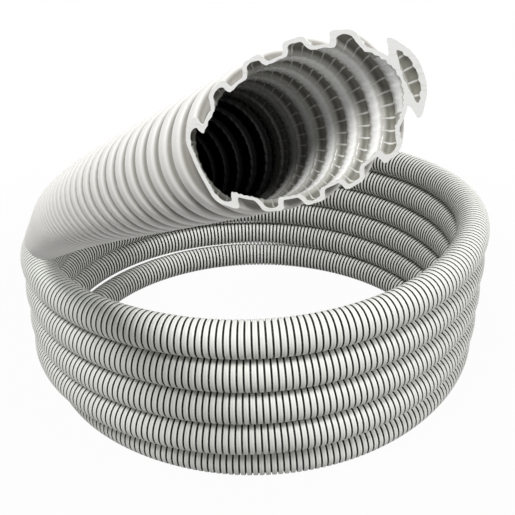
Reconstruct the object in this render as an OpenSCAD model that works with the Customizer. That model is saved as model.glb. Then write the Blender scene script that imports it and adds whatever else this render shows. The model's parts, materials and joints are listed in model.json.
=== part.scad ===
// Coil of corrugated conduit: one moulded tube, wound into a low stack of turns,
// with its free end lifted off the top of the stack, pulled open a little and cut on a slant.

/* [Corrugated wall] */
// Outer diameter over the crests
crest_d = 20; // [16:0.5:26]
// Depth of the corrugated wall, from the outside of a crest in to the clear bore
wave_depth = 1.8; // [1.2:0.1:2.2]
// Thickness of the wall, measured across the tube
wall = 0.45; // [0.3:0.05:0.7]
// Thickness of the side walls of one corrugation, measured along the tube
web = 0.4; // [0.35:0.05:0.8]
// Length of one corrugation along the coiled tube
pitch = 3.3; // [3.1:0.1:6]
// Length of one corrugation in the free end, where the tube is pulled open
free_pitch = 4.6; // [3.8:0.1:7]
// Width of one outer crest along the tube
crest_w = 2.4; // [2:0.1:2.7]
// Slope of each side wall along the tube, from crest to groove
flank_run = 0.25; // [0:0.05:0.3]

/* [Coil] */
// Centreline radius of the stacked turns
coil_r = 142; // [110:1:300]
// How much smaller the radius of the lowest turn is
lowest_in = 5; // [0:1:10]
// How much smaller the radius of the last turn is, on its way to the free end
last_in = 8; // [0:1:20]
// Number of turns stacked on the lowest one
upper_turns = 4; // [1:1:8]
// Least gap between one turn and the next, which is where they climb
turn_gap = 0.08; // [0.04:0.02:2]
// Part of each turn in which it climbs onto the one below
climb_sweep = 120; // [110:5:150]
// Bearing of the lower end, counted round from the front
lower_end_at = 105; // [90:1:150]

/* [Free end] */
// Sweep of the last turn before the free end lifts off
last_sweep = 168.5; // [120:0.5:200]
// Radius of the bend that lifts the free end
lift_r = 235; // [150:5:500]
// Sweep of that bend
lift_sweep = 30.5; // [10:0.5:60]
// Direction of that bend, turned up from level
lift_roll = 54.5; // [0:0.5:90]
// Corrugations in the straight run after it
run_ribs = 29; // [10:1:80]
// Radius of the bend before the mouth
mouth_r = 440; // [200:10:900]
// Corrugations in that bend
mouth_ribs = 19; // [6:1:60]
// Direction of that bend against the one before
mouth_roll = -53.5; // [-90:0.5:90]
// Corrugations in the straight piece that is cut open
end_ribs = 14; // [12:1:30]
// Angle between the cut and the axis of the tube
cut_angle = 37; // [36:1:80]
// Direction that the cut faces, turned about the axis
cut_roll = 23; // [-180:1:180]

/* [Hidden] */
$fn = 96;
light_grey = [0.84, 0.84, 0.81];

crest_r = crest_d / 2;
bore_r = crest_r - wave_depth;
groove_r = bore_r + wall;
cavity_r = crest_r - wall;
step_out = 0.04; // each size of stretch is this much slimmer than the next size up
step_in = 0.02; // and its bore this much wider
seat = (crest_w + flank_run - web) / 2; // how far the slimmer end runs on, into the middle of a side wall
lowest_r = coil_r - lowest_in;
last_r = coil_r - last_in;
lower_ribs = 9;
tip_share = 0.4; // the tip of the cut lies this share of a crest past the middle of the last crest but one
blade = 4 * crest_d;

// A turn climbs in two equal arcs, tilted up and then back, that meet the level turns without a kink.
// tilt: tilt of the first arc. half: sweep of each arc. The level turns keep their radius r.
half_turn = climb_sweep / 2;
run_of_climb = 2 * coil_r * tan(half_turn / 2);
function stacked(p, n = 8) = n == 0 ? p :
    stacked((crest_d + turn_gap) / cos(asin(p / run_of_climb)), n - 1);
turn_pitch = stacked(crest_d);
function climb_tilt(r, t = 0, n = 8) = n == 0 ? t :
    climb_tilt(r, asin(turn_pitch / (2 * climb_r(r, t) * (1 - cos(climb_half(t))))), n - 1);
function climb_half(t) = atan(tan(half_turn) / cos(t));
function climb_r(r, t) = r / ((1 - cos(climb_half(t))) * cos(t) + cos(climb_half(t)) / cos(t));
function climb_twist(t) = let (a = climb_half(t))
    2 * asin(cos(a) * sin(t) / sqrt(1 - pow(sin(a) * sin(t), 2)));
function climb(r) = let (t = climb_tilt(r), a = climb_half(t), rc = climb_r(r, t), w = climb_twist(t))
    [[rc, a, t, 1], [rc, a, -w, 2]];
function turn(r, roll) = [[r, 360 - climb_sweep, roll, 0]];

// The route is a list of bends [radius, sweep, roll, size], each started where the one before ends.
// A straight run of corrugations is [0, length, roll, size, corrugations]. Where two stretches meet,
// the one of the smaller size ends inside the wall of the other, so that the tube is closed all along.
ribbed = 3;
function straight_run(ribs, one) = [0, ribs * one, 0, ribbed, ribs];
tilt_low = climb_tilt(lowest_r);
tilt_up = climb_tilt(coil_r);
coil_route = concat(
    [straight_run(lower_ribs, pitch)],
    turn(lowest_r, 0), climb(lowest_r),
    [for (i = [1:upper_turns]) each concat(turn(coil_r, i == 1 ? tilt_low : tilt_up), climb(coil_r))],
    [[last_r, last_sweep, tilt_up, 0]]
);
free_route = [
    [lift_r, lift_sweep, lift_roll, 1],
    straight_run(run_ribs, free_pitch),
    [mouth_r, mouth_ribs * free_pitch / mouth_r * 180 / PI, mouth_roll, 1],
    straight_run(end_ribs, free_pitch)
];
route = concat(coil_route, free_route);

// Wall of one corrugation of length p, from the middle of one crest to the middle of the next
function outside(z, p) = [
    [crest_r, z + crest_w / 2], [groove_r, z + crest_w / 2 + flank_run],
    [groove_r, z + p - crest_w / 2 - flank_run], [crest_r, z + p - crest_w / 2]];
function inside(z, p) = [
    [cavity_r, z + crest_w / 2 - web], [bore_r, z + crest_w / 2 + flank_run - web],
    [bore_r, z + p - crest_w / 2 - flank_run + web], [cavity_r, z + p - crest_w / 2 + web]];
function flip(points) = [for (i = [len(points) - 1:-1:0]) points[i]];

// Straight run of whole corrugations along +Z, from mid-crest to mid-crest
module ribbed_run(length, ribs) {
    p = length / ribs;
    outer = [for (i = [0:ribs - 1]) each outside(i * p, p)];
    inner = [for (i = [0:ribs - 1]) each inside(i * p, p)];
    rotate_extrude()
        polygon(concat([[cavity_r, 0], [crest_r, 0]], outer,
            [[crest_r, length], [cavity_r, length]], flip(inner)));
}

// Bend from the origin, heading +Z and turning towards +X, with its ends run on by before and after
module plain_bend(r, sweep, size, before, after) {
    slim = ribbed - size;
    start = before * 180 / PI / r;
    finish = after * 180 / PI / r;
    translate([r, 0, 0]) rotate([-90, 0, 0]) rotate([0, 0, 180 - start])
        rotate_extrude(angle = start + sweep + finish) translate([r, 0]) difference() {
            circle(crest_r - slim * step_out);
            circle(bore_r + slim * step_in);
        }
}

function run_on(size, next) = next != undef && next[3] > size ? seat : 0;

module stretch(route, i) {
    s = route[i];
    if (s[0] == 0) ribbed_run(s[1], s[4]);
    else plain_bend(s[0], s[1], s[3], run_on(s[3], route[i - 1]), run_on(s[3], route[i + 1]));
}

module at_end_of(s) {
    if (s[0] == 0) translate([0, 0, s[1]]) children();
    else translate([s[0] * (1 - cos(s[1])), 0, s[0] * sin(s[1])]) rotate([0, s[1], 0]) children();
}

module follow(route, i = 0) {
    if (i < len(route)) rotate([0, 0, route[i][2]]) {
        stretch(route, i);
        at_end_of(route[i]) follow(route, i + 1);
    }
}

module at_end_of_route(i = 0) {
    if (i < len(route)) rotate([0, 0, route[i][2]]) at_end_of(route[i]) at_end_of_route(i + 1) children();
    else children();
}

// Everything on the open side of the slanted cut
module open_side() {
    tip = tip_share * crest_w - free_pitch;
    translate([0, 0, tip - crest_r / tan(cut_angle)]) rotate([0, 0, cut_roll]) rotate([0, cut_angle - 90, 0])
        translate([-blade / 2, -blade / 2, 0]) cube(blade);
}

// The lower end lies on the floor, and the tube runs from it anticlockwise, seen from above
module lower_end_frame() {
    rotate([0, 0, lower_end_at]) translate([0, -lowest_r, crest_r]) rotate([0, 90, 0]) rotate([0, 0, 90])
        translate([0, 0, -lower_ribs * pitch]) children();
}

module conduit() {
    color(light_grey) lower_end_frame() difference() {
        follow(route);
        at_end_of_route() open_side();
    }
}

conduit();
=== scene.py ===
import json
import math

import bpy
import numpy as np
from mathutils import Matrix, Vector


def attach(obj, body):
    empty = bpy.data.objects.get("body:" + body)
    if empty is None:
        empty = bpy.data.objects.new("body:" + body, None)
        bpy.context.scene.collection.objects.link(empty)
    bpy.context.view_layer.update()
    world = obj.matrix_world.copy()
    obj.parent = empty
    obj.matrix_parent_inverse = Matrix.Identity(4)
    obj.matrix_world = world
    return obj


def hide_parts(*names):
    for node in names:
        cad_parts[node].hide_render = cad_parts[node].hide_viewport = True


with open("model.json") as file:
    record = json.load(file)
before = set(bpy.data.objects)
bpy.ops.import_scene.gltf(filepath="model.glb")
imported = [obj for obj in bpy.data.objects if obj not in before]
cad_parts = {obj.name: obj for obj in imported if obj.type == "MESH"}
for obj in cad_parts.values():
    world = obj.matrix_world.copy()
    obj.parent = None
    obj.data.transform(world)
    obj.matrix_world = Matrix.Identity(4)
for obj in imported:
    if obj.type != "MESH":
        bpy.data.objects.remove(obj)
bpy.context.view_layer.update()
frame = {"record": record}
mounts = {mount["name"]: mount for mount in frame["record"]["mounts"]}
mm = 0.001

camera = {
    "aim": (0, 0, 50 * mm),
    "distance": 480 * mm,
    "elevation": 27,  # degrees above level
    "lens": 47,  # mm, on a 36 mm sensor
    "shift": (-0.006, 0.049),
    "nearest": 5 * mm,
    "furthest": 20,
}


def makeCamera(c):
    data = bpy.data.cameras.new("camera")
    data.lens = c["lens"]
    data.shift_x, data.shift_y = c["shift"]
    data.clip_start = c["nearest"]
    data.clip_end = c["furthest"]
    eye = bpy.data.objects.new("camera", data)
    rise = math.radians(c["elevation"])
    back = Vector((0, -math.cos(rise), math.sin(rise)))
    eye.location = Vector(c["aim"]) + back * c["distance"]
    eye.rotation_euler = (-back).to_track_quat("-Z", "Y").to_euler()
    bpy.context.scene.collection.objects.link(eye)
    bpy.context.scene.camera = eye


makeCamera(camera)
print("camera set")

# the wall of the tube, and how far apart its corrugations stand
conduit = {
    "crestR": mounts["free_end_outside"]["dims"]["r_mm"] * mm,
    "boreR": mounts["free_end_bore"]["dims"]["r_mm"] * mm,
    "wall": 0.45 * mm,
    "web": 0.4 * mm,  # thickness of a corrugation's sides, along the tube
    "pitch": 3.3 * mm,
    "freePitch": 4.6 * mm,
    "crestW": 2.4 * mm,
    "flankRun": 0.25 * mm,
}

coil = {
    "lowestR": 137 * mm,
    "coilR": 142 * mm,
    "lastR": 134 * mm,
    "upperTurns": 4,
    "turnGap": 0.08 * mm,  # least gap between turns, where they climb
    "climbSweep": math.radians(120),
    "lowerRibs": 9,
    "lowerEndAt": math.radians(105),  # bearing from the front, anticlockwise from above
    "lastSweep": math.radians(168.5),
}

freeEnd = {
    "liftR": 235 * mm,
    "liftSweep": math.radians(30.5),
    "liftRoll": math.radians(54.5),
    "runRibs": 29,
    "mouthR": 440 * mm,
    "mouthRibs": 19,
    "mouthRoll": math.radians(-53.5),
    "endRibs": 14,
    "cutAngle": math.radians(37),
    "cutRoll": math.radians(23),
    "tipShare": 0.4,  # of a crest, past the middle of the last crest but one
}

settlingSteps = 9  # enough for the sizes below to stop changing


# height from one level turn to the next, so that the climbs between them keep the least gap
def turnRise(c):
    thick = 2 * conduit["crestR"] + c["turnGap"]
    acrossClimb = 2 * c["coilR"] * math.tan(c["climbSweep"] / 4)
    rise = 2 * conduit["crestR"]
    for _ in range(settlingSteps):
        rise = thick / math.cos(math.asin(rise / acrossClimb))
    return rise


# a turn climbs in two equal arcs, tilted up and then back, that meet the level turns without a kink
def climbArcs(radius, rise):
    tilt = 0.0
    for _ in range(settlingSteps):
        half = math.atan(math.tan(coil["climbSweep"] / 2) / math.cos(tilt))
        climbR = radius / ((1 - math.cos(half)) * math.cos(tilt) + math.cos(half) / math.cos(tilt))
        tilt = math.asin(rise / (2 * climbR * (1 - math.cos(half))))
    across = math.sqrt(1 - (math.sin(half) * math.sin(tilt)) ** 2)
    twist = 2 * math.asin(math.cos(half) * math.sin(tilt) / across)
    return [(climbR, half, tilt), (climbR, half, -twist)], tilt


# the route: bends (radius, sweep, roll) and straight runs (0, length, roll)
def routeOf(t, c, f):
    level = 2 * math.pi - c["climbSweep"]
    rise = turnRise(c)
    lowClimb, lowTilt = climbArcs(c["lowestR"], rise)
    climb, tilt = climbArcs(c["coilR"], rise)
    stretches = [(0, c["lowerRibs"] * t["pitch"], 0), (c["lowestR"], level, 0), *lowClimb]
    for turn in range(c["upperTurns"]):
        stretches += [(c["coilR"], level, tilt if turn else lowTilt), *climb]
    return stretches + [
        (c["lastR"], c["lastSweep"], tilt),
        (f["liftR"], f["liftSweep"], f["liftRoll"]),
        (0, f["runRibs"] * t["freePitch"], 0),
        (f["mouthR"], f["mouthRibs"] * t["freePitch"] / f["mouthR"], f["mouthRoll"]),
        (0, f["endRibs"] * t["freePitch"], 0),
    ]


class Route:
    def __init__(self, stretches, at, heading, side):
        self.starts, self.frames = [0.0], []
        self.stretches = stretches
        turned = 0.0
        for radius, size, roll in stretches:
            up = np.cross(heading, side)
            side = math.cos(roll) * side + math.sin(roll) * up
            turned += roll
            self.frames.append((at, heading, side, turned))
            if radius:
                s, k = math.sin(size), math.cos(size)
                at = at + radius * (s * heading + (1 - k) * side)
                heading, side = k * heading + s * side, k * side - s * heading
            else:
                at = at + size * heading
            self.starts.append(self.starts[-1] + (radius or 1) * size)
        self.length = self.starts[-1]
        self.end = (at, heading, side, np.cross(heading, side))

    # centre of the tube at each distance, with two directions across it that don't twist from ring to ring
    def ringsAt(self, distances):
        centres, across, rising = (np.zeros((len(distances), 3)) for _ in range(3))
        passed = np.searchsorted(self.starts, distances, side="right") - 1
        owner = np.clip(passed, 0, len(self.stretches) - 1)
        for i, (radius, _, _) in enumerate(self.stretches):
            here = owner == i
            if not here.any():
                continue
            at, heading, side, turned = self.frames[i]
            up = np.cross(heading, side)
            run = (distances[here] - self.starts[i])[:, None]
            if radius:
                s, k = np.sin(run / radius), np.cos(run / radius)
                centres[here] = at + radius * (s * heading + (1 - k) * side)
                inward = k * side - s * heading
            else:
                centres[here] = at + run * heading
                inward = np.repeat(side[None], here.sum(), 0)
            across[here] = math.cos(turned) * inward - math.sin(turned) * up
            rising[here] = math.sin(turned) * inward + math.cos(turned) * up
        return centres, across, rising


# the lower end lies on the floor, and joins the lowest turn where that turn begins
def layRoute(t, c, f):
    bearing = c["lowerEndAt"]
    heading = np.array([math.cos(bearing), math.sin(bearing), 0])
    inward = np.array([-math.sin(bearing), math.cos(bearing), 0])
    joint = -c["lowestR"] * inward + np.array([0, 0, t["crestR"]])
    start = joint - c["lowerRibs"] * t["pitch"] * heading
    return Route(routeOf(t, c, f), start, heading, inward)


route = layRoute(conduit, coil, freeEnd)
liftStart, runStart, bendStart, endStart = route.starts[-5:-1]


# distance along the route of each mid-crest: even in the coil, drawn apart in the lift, even in the free end
def layRibs(t, f):
    coilRibs = round(liftStart / t["pitch"])
    coilPitch = liftStart / coilRibs
    liftLength = runStart - liftStart
    liftRibs = round(2 * liftLength / (coilPitch + t["freePitch"]))
    u = np.linspace(0, 1, liftRibs + 1)[1:]
    leaving = (u**3 - 2 * u**2 + u) * liftRibs * coilPitch
    arriving = (u**3 - u**2) * liftRibs * t["freePitch"]
    lift = liftStart + leaving + (3 * u**2 - 2 * u**3) * liftLength + arriving
    freeRibs = f["runRibs"] + f["mouthRibs"] + f["endRibs"]
    free = runStart + t["freePitch"] * np.arange(1, freeRibs + 1)
    return np.concatenate([np.arange(coilRibs + 1) * coilPitch, lift, free])


ribs = layRibs(conduit, freeEnd)
ribCount = len(ribs) - 1
mouthAt = np.array(mounts["free_end_bore"]["pos_m"])
offAxis = np.linalg.norm(np.cross(mouthAt - route.end[0], route.end[1]))
print("route", round(route.length, 4), "m,", ribCount, "corrugations")
print("the route misses the CAD bore by", round(offAxis / mm, 4), "mm")


# the number of the crest nearest to a distance along the route
def ribAt(distance):
    return int(np.abs(ribs - distance).argmin())


# how finely the tube is drawn, and the small shapes on its wall
detail = {
    "around": 24,  # sides of the tube in the coil
    "runAround": 40,
    "endAround": 144,
    "plainEvery": 3,  # corrugations between the rings of a smooth wall
    "softness": 0.32 * mm,  # of the corners of a corrugation
    "endSoftness": 0.4 * mm,
    "dish": 0.06 * mm,  # how far the middle of a crest sinks
    "ridgeCrown": 0.12 * mm,  # how far the edges of a ridge inside stand back from its middle
    "lines": 36,  # fine lines along the inside of the free end
    "lineHeight": 0.12 * mm,
    "beadHeight": 0.12 * mm,
}


# half a corrugation: distance from mid-crest, radius, depth from 0 to 1, nearness to mid-crest;
# the steps round its two corners, and go straight between them
def ribOutline(crestR, grooveR, softness, dish, crestW, fine):
    flankRun = conduit["flankRun"]
    half, foot = crestW / 2, crestW / 2 + flankRun
    soft = softness / abs(crestR - grooveR)  # the same rounding as a share of the depth
    shoulder = half - 1.1 * softness
    if fine:
        steps = [
            (0, 0),
            (0.6 * shoulder, 0),
            (shoulder, 0.1 * soft),
            (half - 0.5 * softness, 0.33 * soft),
            (half - 0.1 * softness, 0.75 * soft),
            (half + 0.15 * flankRun, 1.7 * soft),
            (foot - 0.15 * flankRun, 1 - 0.5 * soft),
            (foot + 0.35 * softness, 1),
        ]
    else:
        steps = [
            (0, 0),
            (shoulder, 0.1 * soft),
            (half - 0.2 * softness, 0.6 * soft),
            (half + 0.1 * flankRun, 1.5 * soft),
            (foot, 1),
        ]
    outline = []
    for z, depth in steps:
        middle = max(0.0, 1 - z / shoulder)
        outline.append((z, crestR + (grooveR - crestR) * depth - dish * middle, depth, middle))
    return outline


# rings of whole corrugations, each with a distance, a radius, a depth and a nearness to mid-crest;
# with ridgeR there is one more ring along the middle of each ridge inside, and the nearness is to that
def tubeRings(outline, firstRib, lastRib, ridgeR=None):
    if ridgeR:
        outline = [(z, r, depth, 0.0) for z, r, depth, _ in outline]
    rings = []
    for here, after in zip(ribs[firstRib:lastRib], ribs[firstRib + 1 : lastRib + 1]):
        rings += [(here + z, *rest) for z, *rest in outline]
        if ridgeR:
            rings.append(((here + after) / 2, ridgeR, 1.0, 1.0))
        rings += [(after - z, *rest) for z, *rest in reversed(outline[1:])]
    rings.append((ribs[lastRib], *outline[0][1:]))
    return np.array(rings)


# rings of a smooth wall, at the same corrugations in every length so that two such walls never cross
def plainRings(radius, firstRib, lastRib):
    between = [rib for rib in range(firstRib + 1, lastRib) if rib % detail["plainEvery"] == 0]
    return np.array([(ribs[rib], radius, 0.0, 0.0) for rib in (firstRib, *between, lastRib)])


# a skin of rings round the route: points, faces, and the facts about each point that colour the wall
def skin(rings, around, inward=False, relief=None):
    centres, across, rising = route.ringsAt(rings[:, 0])
    turn = np.linspace(0, 2 * math.pi, around, endpoint=False)[None, :, None]
    spokes = across[:, None] * np.cos(turn) + rising[:, None] * np.sin(turn)
    radii = np.repeat(rings[:, 1, None], around, 1)
    if relief is not None:
        radii = radii + relief(rings, around)
    points = centres[:, None] + radii[:, :, None] * spokes
    ring = np.arange(len(rings) - 1)[:, None] * around
    here = np.arange(around)[None]
    after = (here + 1) % around
    corners = [ring + here, ring + after, ring + around + after, ring + around + here]
    quads = np.stack(corners, -1).reshape(-1, 4)
    if inward:
        quads = quads[:, ::-1]
    ringFacts = {
        "depth": 1 - rings[:, 2] if inward else rings[:, 2],
        "middle": rings[:, 3],
        "pulled": np.clip((rings[:, 0] - liftStart) / (runStart - liftStart), 0, 1),
        "inFrom": np.minimum(rings[:, 0], route.length - rings[:, 0]),
    }
    facts = {key: np.repeat(fact, around) for key, fact in ringFacts.items()}
    # how far each point of the coil faces its eye, which spreads the painted groove shade there
    outward = centres[:, None, :2] / np.linalg.norm(centres[:, None, :2], axis=2, keepdims=True)
    inCoil = (rings[:, 0] < liftStart)[:, None]
    facts["eyeSide"] = np.clip(-(outward * spokes[:, :, :2]).sum(2) * inCoil, 0, 1).ravel()
    onLine = np.where(np.arange(around) % (around / detail["lines"]), 0.0, 1.0)
    facts["line"] = np.tile(onLine, len(rings))
    return points.reshape(-1, 3), quads, facts


# a closed wall between an outer and an inner skin, joined by a rim at each end
def wallBetween(name, outer, inner, around, finishes, relief=None):
    outPoints, outQuads, outFacts = skin(outer, around)
    inPoints, inQuads, inFacts = skin(inner, around, True, relief)
    base = len(outPoints)
    here = np.arange(around)
    after = (here + 1) % around
    lastOut, lastIn = base - around, len(inPoints) - around
    firstRim = [here, base + here, base + after, after]
    lastRim = [lastOut + after, base + lastIn + after, base + lastIn + here, lastOut + here]
    faces = [outQuads, inQuads + base, np.stack(firstRim, -1), np.stack(lastRim, -1)]
    mesh = bpy.data.meshes.new(name)
    points = np.concatenate([outPoints, inPoints])
    mesh.from_pydata(points.tolist(), [], np.concatenate(faces).tolist())
    for key in outFacts:
        values = np.concatenate([outFacts[key], inFacts[key]])
        mesh.attributes.new(key, "FLOAT", "POINT").data.foreach_set("value", values)
    for finish in finishes:
        mesh.materials.append(finish)
    side = np.repeat([0, 1, 2, 2], [len(group) for group in faces])  # outside, inside, rims
    mesh.polygons.foreach_set("material_index", side.astype(np.int32))
    piece = bpy.data.objects.new(name, mesh)
    bpy.context.scene.collection.objects.link(piece)
    keepRimsSharp(mesh)
    return piece


# smooth shading everywhere but along the edges where two finishes meet
def keepRimsSharp(mesh):
    mesh.shade_smooth()
    side = np.zeros(len(mesh.polygons), np.int32)
    mesh.polygons.foreach_get("material_index", side)
    sizes = np.zeros(len(mesh.polygons), np.int32)
    mesh.polygons.foreach_get("loop_total", sizes)
    edge = np.zeros(len(mesh.loops), np.int32)
    mesh.loops.foreach_get("edge_index", edge)
    ofLoop = np.repeat(side, sizes)
    low, high = np.full(len(mesh.edges), 9), np.full(len(mesh.edges), -1)  # beyond every side's number
    np.minimum.at(low, edge, ofLoop)
    np.maximum.at(high, edge, ofLoop)
    sharp = mesh.attributes.get("sharp_edge") or mesh.attributes.new("sharp_edge", "BOOLEAN", "EDGE")
    sharp.data.foreach_set("value", low != high)
    mesh.update()


# a socket that takes part in arithmetic, where each operator adds a Math node
class Value:
    def __init__(self, nodes, socket):
        self.nodes, self.socket = nodes, socket

    # another output of the same node
    def output(self, name):
        return Value(self.nodes, self.socket.node.outputs[name])

    def math(self, operation, a, b):
        return self.nodes.node("ShaderNodeMath", {"operation": operation}, {0: a, 1: b})

    def __add__(self, other):
        return self.math("ADD", self, other)

    def __sub__(self, other):
        return self.math("SUBTRACT", self, other)

    def __rsub__(self, other):
        return self.math("SUBTRACT", other, self)

    def __mul__(self, other):
        return self.math("MULTIPLY", self, other)

    __radd__ = __add__
    __rmul__ = __mul__


class Nodes:
    def __init__(self, tree):
        self.tree = tree

    # any node: its type, its settings, the values or links of its sockets, and the output that is wanted
    def node(self, kind, settings=None, sockets=None, out=0):
        made = self.tree.nodes.new(kind)
        for key, setting in (settings or {}).items():
            setattr(made, key, setting)
        self.feed(made, sockets or {})
        return Value(self, made.outputs[out])

    def feed(self, made, sockets):
        for key, value in sockets.items():
            if isinstance(value, Value):
                self.tree.links.new(value.socket, made.inputs[key])
            elif isinstance(value, tuple) and made.inputs[key].type == "RGBA":
                made.inputs[key].default_value = (*value, 1)
            else:
                made.inputs[key].default_value = value

    # a fact that the mesh carries at each point
    def fact(self, name):
        return self.node("ShaderNodeAttribute", {"attribute_name": name}, out="Fac")

    # start at low, end at high, eased between
    def ease(self, value, low, high, start=0.0, end=1.0):
        sockets = {"Value": value, "From Min": low, "From Max": high, "To Min": start, "To Max": end}
        return self.node("ShaderNodeMapRange", {"interpolation_type": "SMOOTHSTEP"}, sockets)

    # a to b as share goes from 0 to 1, on the Mix node's colour sockets
    def mix(self, a, b, share):
        return self.node("ShaderNodeMix", {"data_type": "RGBA"}, {0: share, 6: a, 7: b}, out=2)

    def place(self):
        return self.node("ShaderNodeTexCoord", out="Object")

    def noise(self, scale, octaves, stretch=None):
        at = self.place()
        if stretch:
            at = self.node("ShaderNodeVectorMath", {"operation": "MULTIPLY"}, {0: at, 1: stretch})
        return self.node("ShaderNodeTexNoise", {}, {"Vector": at, "Scale": scale, "Detail": octaves})

    def bump(self, height, distance, strength):
        sockets = {"Height": height, "Distance": distance, "Strength": strength}
        return self.node("ShaderNodeBump", {}, sockets)


class Finish(Nodes):
    def __init__(self, name):
        self.material = bpy.data.materials.new(name)
        self.material.use_nodes = True
        super().__init__(self.material.node_tree)
        self.shader = self.tree.nodes["Principled BSDF"]

    def done(self, sockets):
        self.feed(self.shader, sockets)
        return self.material


outsideLook = {
    "rib": (0.76, 0.765, 0.725),
    # painted shade along the middle of each crest
    "crestMiddleShade": (0.47, 0.475, 0.45),
    # painted shade in the grooves: near black in the coil, grey where the corrugations are drawn apart
    "groove": (0.006, 0.006, 0.004),
    "pulledRibShade": (0.67, 0.66, 0.635),  # painted shade: a darker copy of the rib colour where the corrugations are drawn apart
    "pulledGrooveShade": (0.27, 0.26, 0.235),
    "stain": (0.66, 0.655, 0.6),
    "dust": (0.5, 0.48, 0.42),
    "mottleScale": 55,
    "scuffScale": 160,
    "scuffStretch": (1, 1, 6),
    "dustScale": 900,
    "grainScale": 2600,
    "grainHeight": 0.03 * mm,
    "stained": (0.42, 0.72),  # from none to all, over the mottle's noise
    "scuffed": (0.55, 0.75),
    "dusty": (0.56, 0.72),
    "middleShadeShare": 0.55,  # share of the painted shade colour at mid-crest
    "stainShare": 0.22,
    "dustShare": 0.1,
    "grooveDust": 0.15,  # more of it in the grooves
    "roughness": 0.36,
    "mottleRoughness": 0.12,
    "grooveRoughness": 0.2,
    "scuffRoughness": 0.12,
    "specular": 0.3,
}


# the outside: pale ribs with painted shade in the grooves, painted shade along the middle of each crest, and a
# darker painted-shade copy of the ribs where they are drawn apart
def makeOutside(c):
    f = Finish("ribbed_plastic")
    depth, middle, pulled = f.fact("depth"), f.fact("middle"), f.fact("pulled")
    mottle = f.noise(c["mottleScale"], 3)
    dust = f.ease(f.noise(c["dustScale"], 4), *c["dusty"])
    grain = f.noise(c["grainScale"], 2)
    scuff = f.ease(f.noise(c["scuffScale"], 5, c["scuffStretch"]), *c["scuffed"])
    drawnApart = f.ease(pulled, 0.1, 0.9)
    # painted shade along the middle of each crest
    rib = f.mix(c["rib"], c["crestMiddleShade"], middle * c["middleShadeShare"])
    # painted shade: ribs darker where drawn apart
    rib = f.mix(rib, c["pulledRibShade"], drawnApart)
    rib = f.mix(rib, c["stain"], f.ease(mottle, *c["stained"]) * c["stainShare"])
    # painted shade in the grooves
    groove = f.mix(c["groove"], c["pulledGrooveShade"], drawnApart)
    # towards the eye of the coil the corrugations crowd together, and the painted groove shade reaches further
    # up their sides
    eyeSideShade = f.fact("eyeSide") * (0.22 - 0.6 * middle)
    # where the painted groove shade lies; dust and roughness follow the same mask
    grooveAndShade = f.ease(depth + eyeSideShade, 0.04 + 0.1 * pulled, 0.34 + 0.3 * pulled)
    colour = f.mix(rib, groove, grooveAndShade)
    colour = f.mix(colour, c["dust"], dust * (c["dustShare"] + c["grooveDust"] * grooveAndShade))
    rough = c["roughness"] + c["mottleRoughness"] * mottle + c["grooveRoughness"] * grooveAndShade
    return f.done({
        "Base Color": colour,
        "Roughness": rough + c["scuffRoughness"] * scuff,
        "Normal": f.bump(grain + 0.6 * scuff, c["grainHeight"], 0.5),
        "Specular IOR Level": c["specular"],
    })


insideLook = {
    "ridge": (0.84, 0.84, 0.82),
    # painted shade down the sides of each ridge inside
    "ridgeSideShade": (0.42, 0.415, 0.38),
    # painted shade in the hollows between the ridges
    "hollow": (0.2, 0.195, 0.165),
    "line": (0.72, 0.72, 0.69),
    # painted shade, near black, deep in the bore
    "deepShade": (0.003, 0.003, 0.002),
    "shadeFrom": 14 * mm,  # where the painted deep shade starts, in from the nearer end of the conduit
    "shadeTo": 39 * mm,
    "grainScale": 2200,
    "grainHeight": 0.015 * mm,
    "lineInHollow": 0.7,  # share of the line's colour there
    "lineOverAll": 0.35,
    "roughness": 0.22,
    "hollowRoughness": 0.25,
    "grainRoughness": 0.1,
    "specular": 0.3,
}


# the inside: bright ridges with painted shade down their sides, painted shade in the hollows crossed by fine
# lines, and painted shade darker the further in
def makeInside(c):
    f = Finish("bore_plastic")
    line = f.fact("line")
    hollow = f.ease(f.fact("depth"), 0.12, 0.6)
    grain = f.noise(c["grainScale"], 3)
    # painted shade down the sides of each ridge
    ridgeWithSideShade = f.mix(c["ridgeSideShade"], c["ridge"], f.ease(f.fact("middle"), -0.1, 0.6))
    # painted shade in the hollows, lighter along the fine lines
    hollowShadeAndLines = f.mix(c["hollow"], c["line"], f.ease(line, 0.55, 0.95) * c["lineInHollow"])
    colour = f.mix(ridgeWithSideShade, hollowShadeAndLines, hollow)
    colour = f.mix(colour, c["line"], f.ease(line, 0.6, 0.95) * c["lineOverAll"])
    # painted shade, near black, further into the bore
    colour = f.mix(colour, c["deepShade"], f.ease(f.fact("inFrom"), c["shadeFrom"], c["shadeTo"]))
    return f.done({
        "Base Color": colour,
        "Roughness": c["roughness"] + c["hollowRoughness"] * hollow + c["grainRoughness"] * grain,
        "Normal": f.bump(grain, c["grainHeight"], 0.5),
        "Specular IOR Level": c["specular"],
    })


cutLook = {
    "cut": (0.8, 0.8, 0.78),
    "mark": (0.7, 0.7, 0.67),
    "markScale": 300,
    "markStretch": (1, 1, 9),
    "markHeight": 0.04 * mm,
    "roughness": 0.5,
    "markRoughness": 0.2,
}


# the cut: bright plastic with fine marks of the blade
def makeCut(c):
    f = Finish("cut_plastic")
    marks = f.noise(c["markScale"], 3, c["markStretch"])
    return f.done({
        "Base Color": f.mix(c["cut"], c["mark"], f.ease(marks, 0.5, 0.75)),
        "Roughness": c["roughness"] + c["markRoughness"] * marks,
        "Normal": f.bump(marks, c["markHeight"], 0.6),
    })


finishes = [makeOutside(outsideLook), makeInside(insideLook), makeCut(cutLook)]
print("finishes made")

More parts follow.
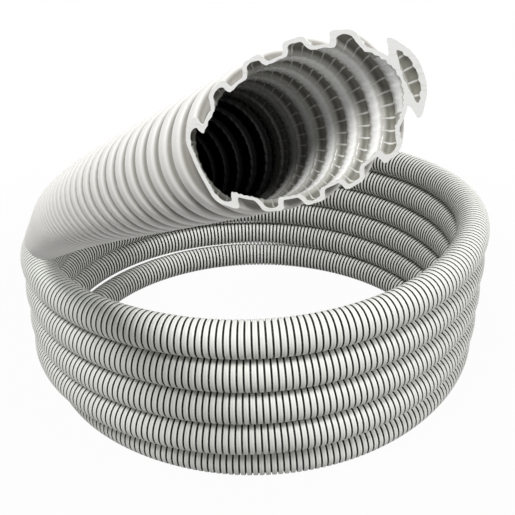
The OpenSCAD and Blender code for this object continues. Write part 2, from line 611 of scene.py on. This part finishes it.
grooveR = conduit["boreR"] + conduit["wall"]
cavityR = conduit["crestR"] - conduit["wall"]
cavityW = conduit["crestW"] - 2 * conduit["web"]
linerR = conduit["boreR"] + conduit["wall"] / 2  # where the bore wall meets the corrugations of the coil
linerGap = 0.04 * mm


# fine lines along the hollows inside, and beads round each ridge
def innerRelief(rings, around):
    step = np.arange(around)
    line = np.where(step % (around // detail["lines"]), 0, 1)
    bead = np.where(step % 2, 0, 1)
    onRidge = rings[:, 3, None]
    return line * detail["lineHeight"] * (onRidge - 1) + bead * onRidge * detail["beadHeight"]


# every piece of the tube rides on the one body and stands for the one solid
def partOfConduit(piece):
    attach(piece, "root")
    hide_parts("conduit")
    print(piece.name, len(piece.data.polygons), "faces")
    return piece


# a length of corrugated tube, hollow where its inside can be seen, or else on a smooth liner
def makeLength(name, firstRib, lastRib, around, fine=False, hollow=False, relief=None):
    softness = detail["endSoftness"] if fine else detail["softness"]
    crestR, crestW, boreR = conduit["crestR"], conduit["crestW"], conduit["boreR"]
    outline = ribOutline(crestR, grooveR, softness, detail["dish"], crestW, fine)
    outer = tubeRings(outline, firstRib, lastRib)
    if hollow:
        inside = ribOutline(cavityR, boreR + detail["ridgeCrown"], softness, 0, cavityW, fine)
        inner = tubeRings(inside, firstRib, lastRib, boreR)
    else:
        inner = plainRings(linerR + linerGap, firstRib, lastRib)
    return partOfConduit(wallBetween(name, outer, inner, around, finishes, relief))


# the smooth wall of the bore through the coil and the free run, in one length
def makeBoreWall(firstRib, lastRib):
    outer = plainRings(linerR - linerGap, firstRib, lastRib)
    inner = plainRings(conduit["boreR"], firstRib, lastRib)
    return partOfConduit(wallBetween("bore_wall", outer, inner, detail["around"], finishes))


# the slanted cut, made with a block whose near face is the plane of the blade
def cutOpen(piece, t, f):
    at, heading, side, up = route.end
    back = t["crestR"] / math.tan(f["cutAngle"]) + t["freePitch"] - f["tipShare"] * t["crestW"]
    facing = side * math.cos(f["cutRoll"]) + up * math.sin(f["cutRoll"])
    normal = heading * math.sin(f["cutAngle"]) - facing * math.cos(f["cutAngle"])
    reach = 4 * t["crestR"]  # of the block, past the tube on every side
    bpy.ops.mesh.primitive_cube_add(size=1)
    block = bpy.context.object
    block.scale = (reach, reach, reach)
    block.rotation_euler = Vector(normal).to_track_quat("Z", "Y").to_euler()
    block.location = Vector(at - heading * back + normal * reach / 2)
    block.data.materials.append(finishes[2])
    bpy.context.view_layer.update()
    cut = piece.modifiers.new("cut", "BOOLEAN")
    cut.operation = "DIFFERENCE"
    cut.solver = "MANIFOLD"
    cut.object = block
    cut.material_mode = "TRANSFER"
    bpy.context.view_layer.objects.active = piece
    bpy.ops.object.modifier_apply(modifier=cut.name)
    bpy.data.objects.remove(block)
    keepRimsSharp(piece.data)
    print("end cut,", len(piece.data.polygons), "faces")


lowerRib, liftRib, runRib = ribAt(route.starts[1]), ribAt(liftStart), ribAt(runStart)
bendRib, endRib = ribAt(bendStart), ribAt(endStart)


def makeConduit(d):
    # a turn takes three stretches of the route: a level one and its climb in two arcs
    upperStarts = route.starts[4::3][: coil["upperTurns"] + 1]
    turns = [lowerRib, *(ribAt(start) for start in upperStarts)]
    pieces = [makeLength("lower_end", 0, lowerRib, d["runAround"], hollow=True)]
    for number, (first, last) in enumerate(zip(turns, turns[1:]), 1):
        pieces.append(makeLength(f"turn_{number}", first, last, d["around"]))
    pieces.append(makeLength("top_turn", turns[-1], liftRib, d["around"]))
    pieces.append(makeLength("lift", liftRib, runRib, d["runAround"]))
    pieces.append(makeLength("free_run", runRib, bendRib, d["runAround"]))
    pieces.append(makeLength("mouth_bend", bendRib, endRib, d["runAround"], fine=True, hollow=True))
    cutEnd = makeLength("cut_end", endRib, ribCount, d["endAround"], fine=True, hollow=True, relief=innerRelief)
    cutOpen(cutEnd, conduit, freeEnd)
    pieces.append(cutEnd)
    return makeBoreWall(lowerRib, bendRib), pieces


# the conduit is a fixed length of stiff tube, coiled and bare at its end
boreWall, lengths = makeConduit(detail)
tuple(route.ringsAt(np.array([0.5 * ribs[lowerRib]]))[0][0])
2 * conduit["crestR"]
route.ringsAt(ribs[lowerRib : bendRib + 1])[0]
print("conduit made")

studio = {
    "floorSize": 12,
    "floorColour": (0.3, 0.3, 0.3),
    "paperShare": 0.97,  # how much of the floor near the coil shows as plain white paper
    "paperFrom": 220 * mm,  # from the coil's axis, where the paper starts to show whiter
    "paperTo": 600 * mm,  # and is all white
    "fill": 0.3,
    "lampAim": (0, 0, 0.05),
    "key": {"at": (-0.4, -0.9, 1.5), "size": 0.5, "watts": 25},
    "side": {"at": (1.1, -0.5, 0.9), "size": 0.6, "watts": 10},
}


# 1 for a ray that the camera sees straight, in a gloss or through glass
def seenOf(nodes):
    path = nodes.node("ShaderNodeLightPath")
    return path.output("Is Camera Ray") + path.output("Is Glossy Ray") + path.output("Is Transmission Ray")


# the floor takes the shadow of the coil and shows as white paper
def makeFloor(c):
    bpy.ops.mesh.primitive_plane_add(size=c["floorSize"])
    floor = bpy.context.object
    floor.name = "floor"
    f = Finish("paper")
    f.feed(f.shader, {"Base Color": c["floorColour"], "Roughness": 0.9})
    far = f.node("ShaderNodeVectorMath", {"operation": "LENGTH"}, {0: f.place()}, out="Value")
    share = f.ease(far, c["paperFrom"], c["paperTo"], c["paperShare"], 1.0) * seenOf(f)
    white = f.node("ShaderNodeEmission", {}, {"Color": (1, 1, 1), "Strength": 1.0})
    plain = Value(f, f.shader.outputs["BSDF"])
    mixed = f.node("ShaderNodeMixShader", {}, {0: share, 1: plain, 2: white})
    f.feed(f.tree.nodes["Material Output"], {"Surface": mixed})
    floor.data.materials.append(f.material)


# soft light from all round, seen as plain white
def makeWorld(c):
    world = bpy.data.worlds.new("studio")
    bpy.context.scene.world = world
    world.use_nodes = True
    nodes = Nodes(world.node_tree)
    soft = nodes.node("ShaderNodeBackground", {}, {"Color": (1, 1, 1), "Strength": c["fill"]})
    white = nodes.node("ShaderNodeBackground", {}, {"Color": (1, 1, 1), "Strength": 1.0})
    mixed = nodes.node("ShaderNodeMixShader", {}, {0: seenOf(nodes), 1: soft, 2: white})
    nodes.feed(nodes.tree.nodes["World Output"], {"Surface": mixed})


def makeLamp(name, c):
    data = bpy.data.lights.new(name, "AREA")
    data.shape = "DISK"
    data.size = c[name]["size"]
    data.energy = c[name]["watts"]
    lamp = bpy.data.objects.new(name, data)
    lamp.location = c[name]["at"]
    aim = Vector(c["lampAim"]) - Vector(c[name]["at"])
    lamp.rotation_euler = aim.to_track_quat("-Z", "Y").to_euler()
    bpy.context.scene.collection.objects.link(lamp)


makeFloor(studio)
makeWorld(studio)
makeLamp("key", studio)
makeLamp("side", studio)
bpy.context.scene.view_settings.view_transform = "Standard"
print("studio made")
